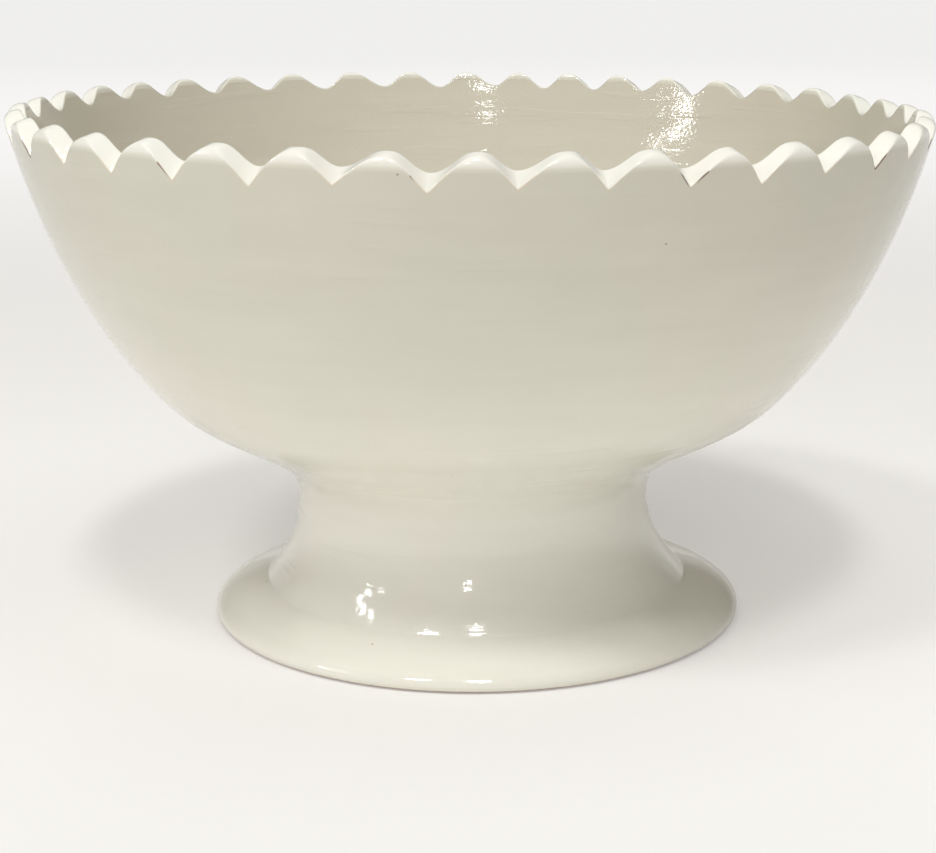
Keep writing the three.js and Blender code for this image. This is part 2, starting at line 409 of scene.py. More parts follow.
@dataclass
class Bowl:
    """The thrown bowl: underside, wall, scalloped rim and dished inside."""

    rim: ScallopedRim = field(default_factory=ScallopedRim)
    seat: Pair = (71.0, 58.0)
    seat_slope: float = 36.83
    seat_reach: float = 11.17
    shoulder: Pair = (105.9, 79.3)
    shoulder_slope: float = 43.5
    shoulder_reaches: Pair = (12.6, 12.2)
    lip: Pair = (155.2, 176.4)
    lip_slope: float = 76.5
    lip_reach: float = 61.7
    wall: float = 7.6
    lip_wall: float = 6.6
    floor: float = 67.5
    floor_reach: float = 80.0
    inner_reaches: Triple = (9.0, 12.2, 61.7)
    lip_drop: float = 3.9
    lip_round: float = 3.7
    lip_power: float = 2.0
    inner_lip_round: float = 2.0
    edge_round: float = 0.5
    edge_blend: float = 0.5
    lip_shares: tuple[float, ...] = (
        0.0, 0.008, 0.025, 0.055, 0.1, 0.16, 0.24, 0.33, 0.43, 0.54, 0.65, 0.75, 0.84, 0.91, 0.96, 0.987, 1.0
    )
    near_shares: tuple[float, ...] = (0.12, 0.3, 0.5, 0.68, 0.81, 0.91, 0.965)
    band: float = 18.0
    row_step: float = 4.0
    ring_depth: float = 0.05
    ring_pitch: float = 9.0
    ring_rise: Pair = (66.0, 80.0)
    ring_fall: Pair = (145.0, 155.0)
    spiral_depth: float = 0.22
    spiral_pitch: float = 11.0
    spiral_rise: Pair = (2.0, 12.0)
    spiral_fall: Pair = (100.0, 155.0)
    ceiling_rows: tuple[float, ...] = (3.0, 8.0, 16.0, 25.0, 34.0, 42.0, 48.0, 57.5, 66.0)
    coarse: int = 3
    # Coat depths that also paint light and shade: the upper outside wall darker, the lower wall and the lip's
    # top whiter, the inside darkest
    high_coat_and_light: float = 0.3
    low_coat_and_light: float = 0.92
    coat_and_light_run: Pair = (52.0, 170.0)
    outer_lip_coats_and_light: tuple[float, ...] = (0.4, 0.6, 0.85)
    inner_lip_coats_and_light: tuple[float, ...] = (0.8, 0.5, 0.2)
    floor_pool: Pair = (20.0, 95.0)
    notch_pool: Pair = (4.5, 8.8)
    edge_widths: Pair = (0.07, 0.06)
    edge_below: float = 0.5
    inner_edge: float = 0.4
    crisp_run: float = 1.6
    seat_tuck: float = 0.8
    tuck_depth: float = 0.004

    def outer_stroke(self) -> Stroke:
        """The outside, from the seat on the coil up to the lip."""
        low, high = (heading(self.shoulder_slope, reach) for reach in self.shoulder_reaches)
        stroke = Stroke(self.seat).sweep(heading(self.seat_slope, self.seat_reach), self.shoulder, low)
        return stroke.sweep(high, self.lip, heading(self.lip_slope, self.lip_reach))

    def inner_stroke(self) -> Stroke:
        """The inside, from the middle of the floor up to the lip."""
        shoulder = np.array(self.shoulder) + heading(90.0 + self.shoulder_slope, self.wall)
        lip = np.array(self.lip) + heading(90.0 + self.lip_slope, self.lip_wall)
        into, out, up = self.inner_reaches
        stroke = Stroke((0.0, self.floor))
        stroke.sweep(heading(0.0, self.floor_reach), shoulder, heading(self.shoulder_slope, into))
        return stroke.sweep(heading(self.shoulder_slope, out), lip, heading(self.lip_slope, up))

    def _level_rows(self, stroke: Stroke) -> Array:
        """Radius and height of the level rows of a wall, from its start up to the band below the rim."""
        plain = stroke.length - self.band
        return stroke.at(np.linspace(0.0, plain, round(plain / self.row_step) + 1))

    def _near_rows(self, stroke: Stroke, ends: Array) -> list[Array]:
        """Rows of a wall that go from level to the line of the scallops.

        Args:
            stroke: the wall's line.
            ends: how far along it each column ends.

        Returns:
            Arrays of radius and height for each column, lowest row first.
        """
        plain = stroke.length - self.band
        return [stroke.at(plain + share * (ends - plain)) for share in self.near_shares]

    def _rim_rows(self, outer: Stroke, inner: Stroke) -> tuple[list[Array], Array, Array]:
        """Rows over the lip, from the outer wall to the inner one: a rounded lip with the scallops cut in.

        Args:
            outer: line of the outer wall.
            inner: line of the inner wall.

        Returns:
            The rows, and how far along each wall every column ends.
        """
        rows, depths = [], []
        for share in self.lip_shares:
            across = share * self.lip_wall
            cut = self.rim.outer_depth + (self.rim.inner_depth - self.rim.outer_depth) * share
            lip = self.lip_drop / self.lip_round * self._rounding(across, self.lip_round, self.lip_power)
            lip += self._rounding(self.lip_wall - across, self.inner_lip_round, ROUND)
            depth = (cut + lip + np.hypot(cut - lip, self.edge_blend)) / 2.0
            depth += self._rounding(across, self.edge_round, ROUND)
            depth += self._rounding(self.lip_wall - across, self.edge_round, ROUND)
            walls = outer.at(outer.length - depth), inner.at(inner.length - depth)
            rows.append(walls[0] + (walls[1] - walls[0]) * share)
            depths.append(depth)
        return rows, outer.length - depths[0], inner.length - depths[-1]

    @staticmethod
    def _rounding(across: float, size: float, power: float) -> float:
        """How far a rounded edge has dropped.

        Args:
            across: the distance from the edge's face.
            size: how far from the face the rounding goes.
            power: ROUND for a round edge and 1 for a bevel.

        Returns:
            The drop, from the rounding's size at the face to 0.
        """
        near = max(0.0, 1.0 - across / size)
        return size * (1.0 - (1.0 - near**power) ** (1.0 / power))

    def build(self) -> bpy.types.Object:
        """Makes the bowl's mesh, and returns its object."""
        outer, inner = self.outer_stroke(), self.inner_stroke()
        fine = self.rim.angles
        plain = fine[:: self.coarse]
        over, outer_ends, inner_ends = self._rim_rows(outer, inner)
        before, after = self._near_rows(outer, outer_ends), self._near_rows(inner, inner_ends)[::-1]
        tucked = np.array(self.seat) - heading(self.seat_slope, self.seat_tuck)
        tucked += heading(self.seat_slope + 90.0, self.tuck_depth)
        under = np.array([[radius, self.seat[1]] for radius in self.ceiling_rows])
        ceiling = Band.turned(np.vstack([under, tucked]), plain)
        ceiling.mark(Mark.THIN, np.ones(len(under) + 1))
        ceiling.mark(Mark.COAT_AND_LIGHT, np.full(len(under) + 1, self.low_coat_and_light))
        rows = spread(self._level_rows(outer), plain)
        height = rows[..., 1]
        fades = smooth(height, *self.ring_rise), 1.0 - smooth(height, *self.ring_fall)
        coat_and_light = self._outer_coat_and_light(height)
        rows[..., 0] += self.ring_depth * finger_rings(height, self.ring_pitch, plain, *fades)
        outside = Band.turned(rows, plain)
        outside.mark(Mark.COAT_AND_LIGHT, coat_and_light)
        rows = spread(self._level_rows(inner)[:0:-1], plain)
        radius, height = rows[..., 0], rows[..., 1]
        fades = smooth(radius, *self.spiral_rise), 1.0 - smooth(height, *self.spiral_fall)
        travel = radius + height - self.floor
        rows[..., 1] += self.spiral_depth * finger_rings(travel, self.spiral_pitch, -plain, *fades)
        inside = Band.turned(rows, plain)
        inside.mark(Mark.POOL, 1.0 - smooth(radius, *self.floor_pool))
        rim = Band.turned(np.array(before + over + after), fine)
        edge = np.zeros((len(before), 1))
        edge[-1] = self.edge_below
        shares, (outer_width, inner_width) = np.array(self.lip_shares), self.edge_widths
        sharp = np.exp(-((shares / outer_width) ** 2))
        sharp += self.inner_edge * np.exp(-(((1.0 - shares) / inner_width) ** 2))
        crisp = smooth(self.rim.outer_depth, self.lip_drop, self.lip_drop + self.crisp_run)
        rim.mark(Mark.EDGE, np.vstack([edge, sharp[:, None], np.zeros((len(after), 1))]) * crisp)
        notch = np.zeros((len(before) + len(over) + len(after), 1))
        notch[len(before) : len(before) + len(over)] = 1.0
        rim.mark(Mark.POOL, notch * smooth(self.rim.outer_depth, *self.notch_pool))
        rim.mark(Mark.COAT_AND_LIGHT, self._rim_coat_and_light(np.array(before), len(over), len(after)))
        skin = Skin([ceiling, outside, rim, inside], False, self.seat[1], self.floor)
        return skin.to_object("glazed_bowl")

    def _outer_coat_and_light(self, height: Array) -> Array:
        """How deep the glaze is on the outside, which ran down towards the foot, with painted light: the
        lower wall is whiter and the upper wall darker, standing in for light that falls from below.
        """
        return self.low_coat_and_light + (self.high_coat_and_light - self.low_coat_and_light) * smooth(height, *self.coat_and_light_run)

    def _rim_coat_and_light(self, before: Array, over: int, after: int) -> Array:
        """How deep the glaze is about the rim, with painted light and shade: the lip's top is whitest and the
        inside darkest.

        Args:
            before: radius and height of the rows below the lip outside.
            over: how many rows go over the lip.
            after: how many rows are below it inside.

        Returns:
            A depth for each row and column.
        """
        columns = before.shape[1]
        lip = np.ones((over, columns))
        lip[: len(self.outer_lip_coats_and_light)] = np.array(self.outer_lip_coats_and_light)[:, None]
        lip[-len(self.inner_lip_coats_and_light) :] = np.array(self.inner_lip_coats_and_light)[:, None]
        return np.vstack([self._outer_coat_and_light(before[..., 1]), lip, np.zeros((after, columns))])


@dataclass
class PedestalFoot:
    """The hollow pedestal: resting ring, rounded edge, flange, trumpet, neck, ledge and collar."""

    neck: Pair = (61.44, 42.0)
    neck_reach: float = 8.24
    seat: Pair = (71.0, 58.0)
    seat_slope: float = 36.83
    seat_reach: float = 7.69
    ledge: float = 48.0
    crease: Pair = (73.9, 12.45)
    crease_slope: float = 51.4
    crease_reaches: Pair = (10.3, 12.9)
    shoulder: Pair = (85.6, 8.0)
    edge_corner: Pair = (92.75, 5.23)
    edge: Pair = (92.75, 2.6)
    resting_corner: Pair = (92.6, 0.0)
    resting_outer: float = 88.9
    resting_inner: float = 80.3
    mouth: Pair = (78.6, 0.7)
    mouth_corner: Pair = (79.25, 0.0)
    hollow_neck: Pair = (52.4, 42.0)
    hollow_slope: float = 45.0
    hollow_reaches: Pair = (12.0, 16.0)
    collar: float = 57.4
    collar_top: float = 57.0
    crease_round: float = 0.6
    crease_spread: float = 8.0
    crease_pool: float = 0.3
    ring_step: float = 1.5
    corner_step: float = 0.45
    edge_step: float = 0.8
    flange_step: float = 1.4
    crease_step: float = 0.3
    trumpet_step: float = 1.2
    collar_step: float = 2.2
    hollow_step: float = 1.6
    mouth_step: float = 0.4
    neck_rows: int = 7
    joint_rows: int = 15
    tuck_depth: float = 0.004
    # Glaze depth with painted light and shade: the flange and trumpet are painted whitest, the rounded edge a
    # little less white
    coat_and_light: float = 1.0
    edge_coat_and_light: float = 0.9
    edge_run: Pair = (6.0, 8.5)
    bare_run: Pair = (0.4, 1.3)
    hollow_ring_depth: float = 0.28
    hollow_ring_pitch: float = 6.5
    hollow_rise: Pair = (3.0, 10.0)
    hollow_fall: Pair = (46.0, 51.0)

    def joint_stroke(self) -> Stroke:
        """The smoothed line from the neck to the bowl's seat, which pedestal and outer coil share."""
        arriving = heading(self.seat_slope, self.seat_reach)
        return Stroke(self.neck).sweep(heading(90.0, self.neck_reach), self.seat, arriving)

    def ledge_place(self) -> float:
        """How far along the joint's line the ledge is."""
        joint = self.joint_stroke()
        return float(np.interp(self.ledge, joint.points[:, 1], joint.lengths))

    def joint_step(self) -> float:
        """How far apart the rows of the outer coil's face are."""
        return (self.joint_stroke().length - self.ledge_place()) / (self.joint_rows - 1)

    def _outside(self) -> list[Array]:
        """Rows from the resting ring up to the ledge."""
        crease, shoulder = np.array(self.crease), np.array(self.shoulder)
        flange = (shoulder - crease) / np.linalg.norm(shoulder - crease)
        climb = heading(180.0 - self.crease_slope, 1.0)
        low, high = self.crease_reaches
        ring = Stroke((self.resting_inner, 0.0)).bend((self.resting_outer, 0.0)).rows(self.ring_step)
        turn = Stroke((self.resting_outer, 0.0)).bend(self.resting_corner, self.edge).rows(self.corner_step)
        edge = Stroke(self.edge).bend(self.edge_corner, self.shoulder).rows(self.edge_step)[1:]
        before, after = crease + flange * self.crease_round, crease + climb * self.crease_round
        top = Stroke(shoulder).bend(before).rows(self.flange_step)[1:]
        fillet = Stroke(before).bend(crease, after).rows(self.crease_step)[1:]
        trumpet = Stroke(after).sweep(climb * (low - self.crease_round), self.neck, heading(90.0, high))
        joint = self.joint_stroke()
        ledge = self.ledge_place()
        neck = joint.at(np.linspace(0.0, ledge, self.neck_rows))[1:]
        hidden = joint.at(ledge + self.joint_step()) - [self.tuck_depth, 0.0]
        rise = trumpet.rows(self.trumpet_step)[1:]
        return [ring, turn[1:], edge, top, fillet, rise, neck, hidden[None]]

    def _inside(self) -> list[Array]:
        """Rows over the hidden ledge and collar and down the hollow."""
        low, high = self.hollow_reaches
        bore, top = self.hollow_neck[0], self.collar_top
        collar = [[self.collar, self.ledge], [self.collar, top], [bore, top]]
        wall = Stroke((bore, top)).bend(self.hollow_neck).rows(self.collar_step)[1:]
        arriving = heading(-self.hollow_slope, low)
        curve = Stroke(self.hollow_neck).sweep(heading(-90.0, high), self.mouth, arriving)
        lip = Stroke(self.mouth).bend(self.mouth_corner, (self.resting_inner, 0.0)).rows(self.mouth_step)
        return [np.array(collar), wall, curve.rows(self.hollow_step)[1:], lip[1:-1]]

    def build(self) -> bpy.types.Object:
        """Makes the pedestal's mesh, and returns its object."""
        outside, inside = self._outside(), self._inside()
        profile = np.vstack(outside + inside)
        angles = around()
        band = Band.turned(profile, angles)
        outer_rows = sum(len(rows) for rows in outside)
        hollow = slice(outer_rows + len(inside[0]), len(profile))
        inner = band.points[hollow]
        inside_height = inner[..., 2]
        fades = smooth(inside_height, *self.hollow_rise), 1.0 - smooth(inside_height, *self.hollow_fall)
        wave = finger_rings(inside_height, self.hollow_ring_pitch, angles, *fades)
        inner[..., 0] += self.hollow_ring_depth * wave * np.cos(angles)
        inner[..., 1] += self.hollow_ring_depth * wave * np.sin(angles)
        radius, height = profile[:, 0], profile[:, 1]
        away = (radius - self.crease[0]) ** 2 + (height - self.crease[1]) ** 2
        thin = np.zeros(len(profile))
        thin[hollow] = 1.0
        climb = smooth(height, *self.edge_run)
        band.mark(Mark.BARE, 1.0 - smooth(height, *self.bare_run))
        band.mark(Mark.POOL, self.crease_pool * np.exp(-(away / self.crease_spread)))
        band.mark(Mark.THIN, thin)
        band.mark(Mark.COAT_AND_LIGHT, self.edge_coat_and_light + (self.coat_and_light - self.edge_coat_and_light) * climb)
        return Skin([band], True).to_object("glazed_pedestal_foot")


@dataclass
class OuterCoil:
    """The coil that is smoothed into the crease between the pedestal and the bowl."""

    foot: PedestalFoot
    inside: float = 57.7

    def build(self) -> bpy.types.Object:
        """Makes the coil's mesh, and returns its object."""
        joint, low, step = self.foot.joint_stroke(), self.foot.ledge_place(), self.foot.joint_step()
        seat, slope, depth = np.array(self.foot.seat), self.foot.seat_slope, self.foot.tuck_depth
        face = joint.at(np.linspace(low, joint.length, self.foot.joint_rows))
        under = joint.at(low - low / (self.foot.neck_rows - 1)) - [depth, 0.0]
        over = seat + heading(slope, step) + heading(slope + 90.0, depth)
        back = np.array([[self.inside, seat[1]], [self.inside, self.foot.ledge]])
        profile = np.vstack([under[None], face, over[None], back])
        angles = around()
        band = Band.turned(profile, angles)
        band.mark(Mark.COAT_AND_LIGHT, np.full(len(profile), self.foot.coat_and_light))
        return Skin([band], True).to_object("glazed_outer_coil")


@dataclass
class InnerCoil:
    """The coil that a thumb pressed into the corner inside the pedestal."""

    outside: float = 52.1
    size: float = 7.0
    seat: float = 58.0
    hollow: float = 2.2
    slant: float = 45.0
    row_step: float = 0.7
    presses: int = 23
    press_depth: float = 0.8
    press_wander: float = 0.12
    press_range: Pair = (0.6, 1.0)
    press_width: float = 0.36
    press_level: float = 0.45
    coat_and_light: float = 0.75
    seed: int = 5

    def build(self) -> bpy.types.Object:
        """Makes the coil's mesh, and returns its object."""
        angles = around()
        inside, foot = self.outside - self.size, self.seat - self.size
        middle = np.array([(inside + self.outside) / 2.0, (foot + self.seat) / 2.0])
        corner = middle + heading(self.slant, self.hollow)
        face = Stroke((inside, self.seat)).bend(corner, (self.outside, foot)).rows(self.row_step)
        back = np.array([[self.outside, self.seat]])
        profile = np.vstack([face, back])[::-1]
        band = Band.turned(profile, angles)
        chance = np.random.default_rng(self.seed)
        wander = chance.uniform(-self.press_wander, self.press_wander, self.presses)
        place = np.sort(wander + np.arange(self.presses)) / self.presses
        depth = chance.uniform(*self.press_range, self.presses)
        turn = angles[:, None] / (2.0 * math.pi) - place[None, :]
        near = np.abs(turn - np.round(turn)) * self.presses
        press = (depth * np.exp(-((near / self.press_width) ** 2))).max(axis=1) - self.press_level
        share = np.concatenate([[0.0], np.sin(np.linspace(0.0, math.pi, len(face)))])
        move = self.press_depth * share[:, None] * press[None, :]
        band.points[..., 0] += move * np.cos(angles)
        band.points[..., 1] += move * np.sin(angles)
        band.points[..., 2] += move
        band.mark(Mark.THIN, np.ones(len(profile)))
        band.mark(Mark.COAT_AND_LIGHT, np.full(len(profile), self.coat_and_light))
        return Skin([band], True).to_object("thumbed_inner_coil")


WHITE: Colour = (1.0, 1.0, 1.0, 1.0)


def paint(code: str) -> Colour:
    """A colour as Blender's nodes hold it.

    Args:
        code: six hexadecimal digits, as a screen shows the colour.

    Returns:
        Linear red, green and blue, and an alpha of 1.
    """
    shown = [int(code[at : at + 2], 16) / 255.0 for at in (0, 2, 4)]
    red, green, blue = (c / 12.92 if c <= 0.04045 else ((c + 0.055) / 1.055) ** 2.4 for c in shown)
    return red, green, blue, 1.0


class Wire:
    """A node's output that Python's operators work on: values by Math nodes, vectors by Vector Math nodes."""

    def __init__(self, bench: "Bench", socket: bpy.types.NodeSocket) -> None:
        """Wraps a socket.

        Args:
            bench: the finish that the socket's node is in.
            socket: the output.
        """
        self.bench = bench
        self.socket = socket

    def _work(self, operation: str, first: "Operand", second: "Operand") -> "Wire":
        """Adds one node for an operation.

        Args:
            operation: the name that Math and Vector Math nodes give it.
            first: what it starts from.
            second: what it is done with.

        Returns:
            The result.
        """
        vector = any(isinstance(side, Wire) and side.socket.type == "VECTOR" for side in (first, second))
        kind = "ShaderNodeVectorMath" if vector else "ShaderNodeMath"
        return self.bench.add(kind, {"operation": operation}, {0: first, 1: second})

    def __add__(self, other: "Operand") -> "Wire":
        """This plus another."""
        return self._work("ADD", self, other)

    def __radd__(self, other: "Operand") -> "Wire":
        """Another plus this."""
        return self._work("ADD", other, self)

    def __sub__(self, other: "Operand") -> "Wire":
        """This less another."""
        return self._work("SUBTRACT", self, other)

    def __rsub__(self, other: "Operand") -> "Wire":
        """Another less this."""
        return self._work("SUBTRACT", other, self)

    def __mul__(self, other: "Operand") -> "Wire":
        """This times another."""
        return self._work("MULTIPLY", self, other)

    def __rmul__(self, other: "Operand") -> "Wire":
        """Another times this."""
        return self._work("MULTIPLY", other, self)

    def ramp(self, low: float, high: float) -> "Wire":
        """A soft step of this value, from 0 at low to 1 at high, which may be the lower of the two."""
        settings = {"interpolation_type": "SMOOTHSTEP", "clamp": True}
        sockets = {"Value": self, "From Min": low, "From Max": high}
        return self.bench.add("ShaderNodeMapRange", settings, sockets)


Operand = Union[Wire, float, Sequence[float]]


class Bench:
    """The nodes of one material or of the room's light, in the making."""

    # How far apart two random values are of which one has a dot and the other none
    SHARP = 0.004

    def __init__(self, owner: Union[bpy.types.Material, bpy.types.World]) -> None:
        """Starts with no nodes.

        Args:
            owner: what the nodes belong to.
        """
        owner.use_nodes = True
        self.owner = owner
        self.tree = owner.node_tree
        self.tree.nodes.clear()

    @classmethod
    def for_finish(cls, name: str) -> "Bench":
        """Starts a new material with the given name."""
        return cls(bpy.data.materials.new(name))

    def add(
        self,
        kind: str,
        settings: Optional[Mapping[str, Any]] = None,
        sockets: Optional[Mapping[Union[str, int], Operand]] = None,
        out: Union[str, int] = 0,
    ) -> Wire:
        """Adds any node.

        Args:
            kind: the node's type.
            settings: its own settings, which are set first. A ramp's stops are a list of place and colour.
            sockets: a value or a link for each input, by name or number.
            out: which of its outputs is wanted.

        Returns:
            That output.
        """
        node = self.tree.nodes.new(kind)
        for key, value in (settings or {}).items():
            if key == "stops":
                self._set_stops(node.color_ramp, value)
            else:
                setattr(node, key, value)
        for key, value in (sockets or {}).items():
            self._feed(node.inputs[key], value)
        return Wire(self, node.outputs[out])

    @staticmethod
    def _set_stops(ramp: bpy.types.ColorRamp, stops: Sequence[tuple[float, Colour]]) -> None:
        """Gives a ramp its stops, as pairs of place and colour."""
        while len(ramp.elements) < len(stops):
            ramp.elements.new(1.0)
        for element, (place, colour) in zip(ramp.elements, stops):
            element.position = place
            element.color = colour

    def _feed(self, socket: bpy.types.NodeSocket, value: Operand) -> None:
        """Links a wire to an input, or sets a number or colour on it."""
        if isinstance(value, Wire):
            self.tree.links.new(value.socket, socket)
        elif socket.type == "VECTOR" and isinstance(value, (int, float)):
            socket.default_value = (value, value, value)
        else:
            socket.default_value = value

    def mix(self, share: Operand, first: Operand, second: Operand, blend: str = "MIX") -> Wire:
        """Blends two colours.

        Args:
            share: how much of the second shows.
            first: the colour at a share of 0.
            second: the colour at a share of 1.
            blend: the Mix node's way of blending.

        Returns:
            The blended colour.
        """
        settings = {"data_type": "RGBA", "blend_type": blend}
        return self.add("ShaderNodeMix", settings, {0: share, 6: first, 7: second}, out=2)

    def place(self) -> Wire:
        """Where a point is on the dish, in metres."""
        return self.add("ShaderNodeTexCoord", out="Object")

    def cloud(self, scale: float, detail: float = 2.0, stretch: float = 1.0) -> Wire:
        """Noise from 0 to 1.

        Args:
            scale: features per metre.
            detail: how many finer layers it has.
            stretch: how much longer than high its features are, drawn out round the dish by the wheel.

        Returns:
            The noise's value.
        """
        place = self.place()
        if stretch != 1.0:
            place = place * (1.0 / stretch, 1.0 / stretch, 1.0)
        sockets = {"Vector": place, "Scale": scale, "Detail": detail}
        return self.add("ShaderNodeTexNoise", {"noise_dimensions": "3D"}, sockets)

    def dots(self, per_metre: float, share: float, radius: float, core: float = 0.55) -> Wire:
        """Round dots strewn at random.

        Args:
            per_metre: cells per metre, each with one dot at most.
            share: how many of the cells have a dot.
            radius: a dot's radius, as a share of a cell.
            core: how much of that radius is flat, from 0 for a dome to 1 for a disc.

        Returns:
            1 inside a dot and 0 outside.
        """
        sockets = {"Vector": self.place(), "Scale": per_metre, "Randomness": 1.0}
        away = self.add("ShaderNodeTexVoronoi", {"feature": "F1"}, sockets, out="Distance")
        tint = Wire(self, away.socket.node.outputs["Color"])
        cell = self.add("ShaderNodeSeparateColor", {}, {0: tint})
        return cell.ramp(1.0 - share - self.SHARP, 1.0 - share) * away.ramp(radius, radius * core)

    def mark(self, mark: Mark) -> Wire:
        """A value that the mesh holds on its vertices."""
        settings = {"attribute_type": "GEOMETRY", "attribute_name": mark.value}
        return self.add("ShaderNodeAttribute", settings, out="Fac")

    def finish(self, shader: Wire) -> Union[bpy.types.Material, bpy.types.World]:
        """Joins a shader to the output, and returns what the nodes belong to."""
        world = isinstance(self.owner, bpy.types.World)
        kind = "ShaderNodeOutputWorld" if world else "ShaderNodeOutputMaterial"
        self._feed(self.tree.nodes.new(kind).inputs["Surface"], shader)
        return self.owner


@dataclass(frozen=True)
class WhiteGlaze:
    """The glossy white glaze over a buff body, thin on sharp edges and wiped off under the foot."""

    name: str
    # Tones by coat depth, which also paint shade inside the bowl and light on the lip's top, the lower wall
    # and the foot
    coat_and_light_tones: tuple[tuple[float, str], ...] = (
        (0.0, "cfcabd"), (0.3, "d8d6cb"), (0.75, "ebeae1"), (1.0, "f5f4ee")
    )
    warm: str = "fffefa"
    cool: str = "fdfefa"
    pooled: str = "f8f8f3"
    blush: str = "dcc4ac"
    iron: str = "6d5340"
    clay: str = "b9977b"
    grit: str = "8a6a50"
    gloss: float = 0.045
    dry: float = 0.85
    index: float = 1.5
    speck_share: float = 0.03
    pit_depth: float = 0.05
    swells: tuple[Triple, ...] = (
        (0.08, 0.06, 62.0), (0.02, 0.04, 150.0), (0.02, 0.0, 330.0), (0.02, 0.03, 760.0)
    )

    def make(self) -> bpy.types.Material:
        """Makes the glaze's material.

        The swells are each a height outside, a further height on the thrown inside, and waves per metre.

        Returns:
            The material.
        """
        bench = Bench.for_finish(self.name)
        edge, bare, pool, thin, depth = (bench.mark(mark) for mark in Mark)
        broad, middling, fine = bench.cloud(13.0), bench.cloud(55.0, 3.0), bench.cloud(420.0, 2.0)

        stops = [(place, paint(tone)) for place, tone in self.coat_and_light_tones]
        streaks = bench.cloud(170.0, 1.0, 9.0)
        # The coat mark (depth), which is partly painted light and shade, picks the glaze's whiteness
        cover_and_light = depth + 0.1 * (middling - 0.5) + 0.12 * (streaks - 0.5)
        coat_and_light = bench.add("ShaderNodeValToRGB", {"stops": stops}, {"Fac": cover_and_light}, out="Color")
        cast = bench.mix(broad.ramp(0.35, 0.68), paint(self.warm), paint(self.cool))
        cast = bench.mix(pool * 0.6, cast, paint(self.pooled))
        coat_and_light = bench.mix(1.0, coat_and_light, cast, "MULTIPLY")
        blushing = (edge * 1.2 + middling * 0.9 - 0.75).ramp(0.25, 0.95)
        coat_and_light = bench.mix(blushing * 0.4, coat_and_light, paint(self.blush))
        # Dark brown lines painted in patches along the cut edges and just below them
        patches = bench.cloud(31.0, 2.0).ramp(0.545, 0.62)
        edge_lines = (edge * 1.15 + fine * 0.5 - 0.45).ramp(0.5, 0.9) * patches
        coat_and_light = bench.mix(edge_lines * 0.85, coat_and_light, paint(self.iron))
        specks = bench.dots(150.0, self.speck_share, 0.055)
        coat_and_light = bench.mix(specks * 0.75, coat_and_light, paint(self.iron))
        worn = thin * (middling + fine * 0.3).ramp(0.5, 0.85)
        coat_and_light = bench.mix(worn * 0.5, coat_and_light, paint(self.blush))

        wiped = (bare * 1.5 + (middling - 0.5) * 0.5 + (fine - 0.5) * 0.3).ramp(0.55, 0.8)
        grains = bench.dots(900.0, 0.16, 0.3)
        earth = bench.mix(grains * 0.7, paint(self.clay), paint(self.grit))
        earth = bench.mix(fine.ramp(0.3, 0.7) * 0.35, earth, paint(self.grit))
        nicks = bare.ramp(0.05, 0.4) * bench.cloud(75.0, 3.0).ramp(0.66, 0.7)
        earth = bench.mix(nicks, earth, paint(self.iron))
        colour = bench.mix((wiped + nicks).ramp(0.0, 1.0), coat_and_light, earth)

        rough = self.gloss + 0.04 * middling + 0.15 * blushing + 0.25 * worn
        rough = rough * (1.0 - wiped) + self.dry * wiped
        pits = bench.dots(240.0, 0.06, 0.12)
        bubbles = bench.dots(520.0, 0.8, 0.2, 0.0)
        thrown = (1.0 - depth).ramp(0.75, 1.0)
        relief = (0.05 + 0.55 * thrown) * bench.cloud(85.0, 1.0, 7.0)
        relief = relief + 0.05 * bench.cloud(300.0, 1.0, 12.0).ramp(0.58, 0.7)
        for height, further, waves in self.swells:
            relief = relief + (height + further * thrown) * bench.cloud(waves, 1.0)
        relief = relief - self.pit_depth * pits + (0.025 + 0.02 * thrown) * bubbles
        relief = relief + wiped * (0.1 * fine - 0.08)
        bump = bench.add("ShaderNodeBump", {}, {"Strength": 1.0, "Distance": MM, "Height": relief})
        sockets = {"Base Color": colour, "Roughness": rough, "IOR": self.index, "Normal": bump}
        return bench.finish(bench.add("ShaderNodeBsdfPrincipled", {}, sockets))


@dataclass(frozen=True)
class FiredSlip:
    """The dry slip that joins the collar to the bowl."""

    name: str = "fired_slip"
    light: str = "c9a184"
    dark: str = "a98266"
    relief: float = 0.0004

    def make(self) -> bpy.types.Material:
        """Makes the slip's material.

        Returns:
            The material.
        """
        bench = Bench.for_finish(self.name)
        smear, grain = bench.cloud(160.0, 3.0), bench.cloud(1400.0, 2.0)
        colour = bench.mix(smear.ramp(0.3, 0.7), paint(self.dark), paint(self.light))
        sockets = {"Strength": 0.5, "Distance": self.relief, "Height": smear + grain * 0.4}
        bump = bench.add("ShaderNodeBump", {}, sockets)
        sockets = {"Base Color": colour, "Roughness": 0.78 + 0.16 * grain, "Normal": bump}
        return bench.finish(bench.add("ShaderNodeBsdfPrincipled", {}, sockets))


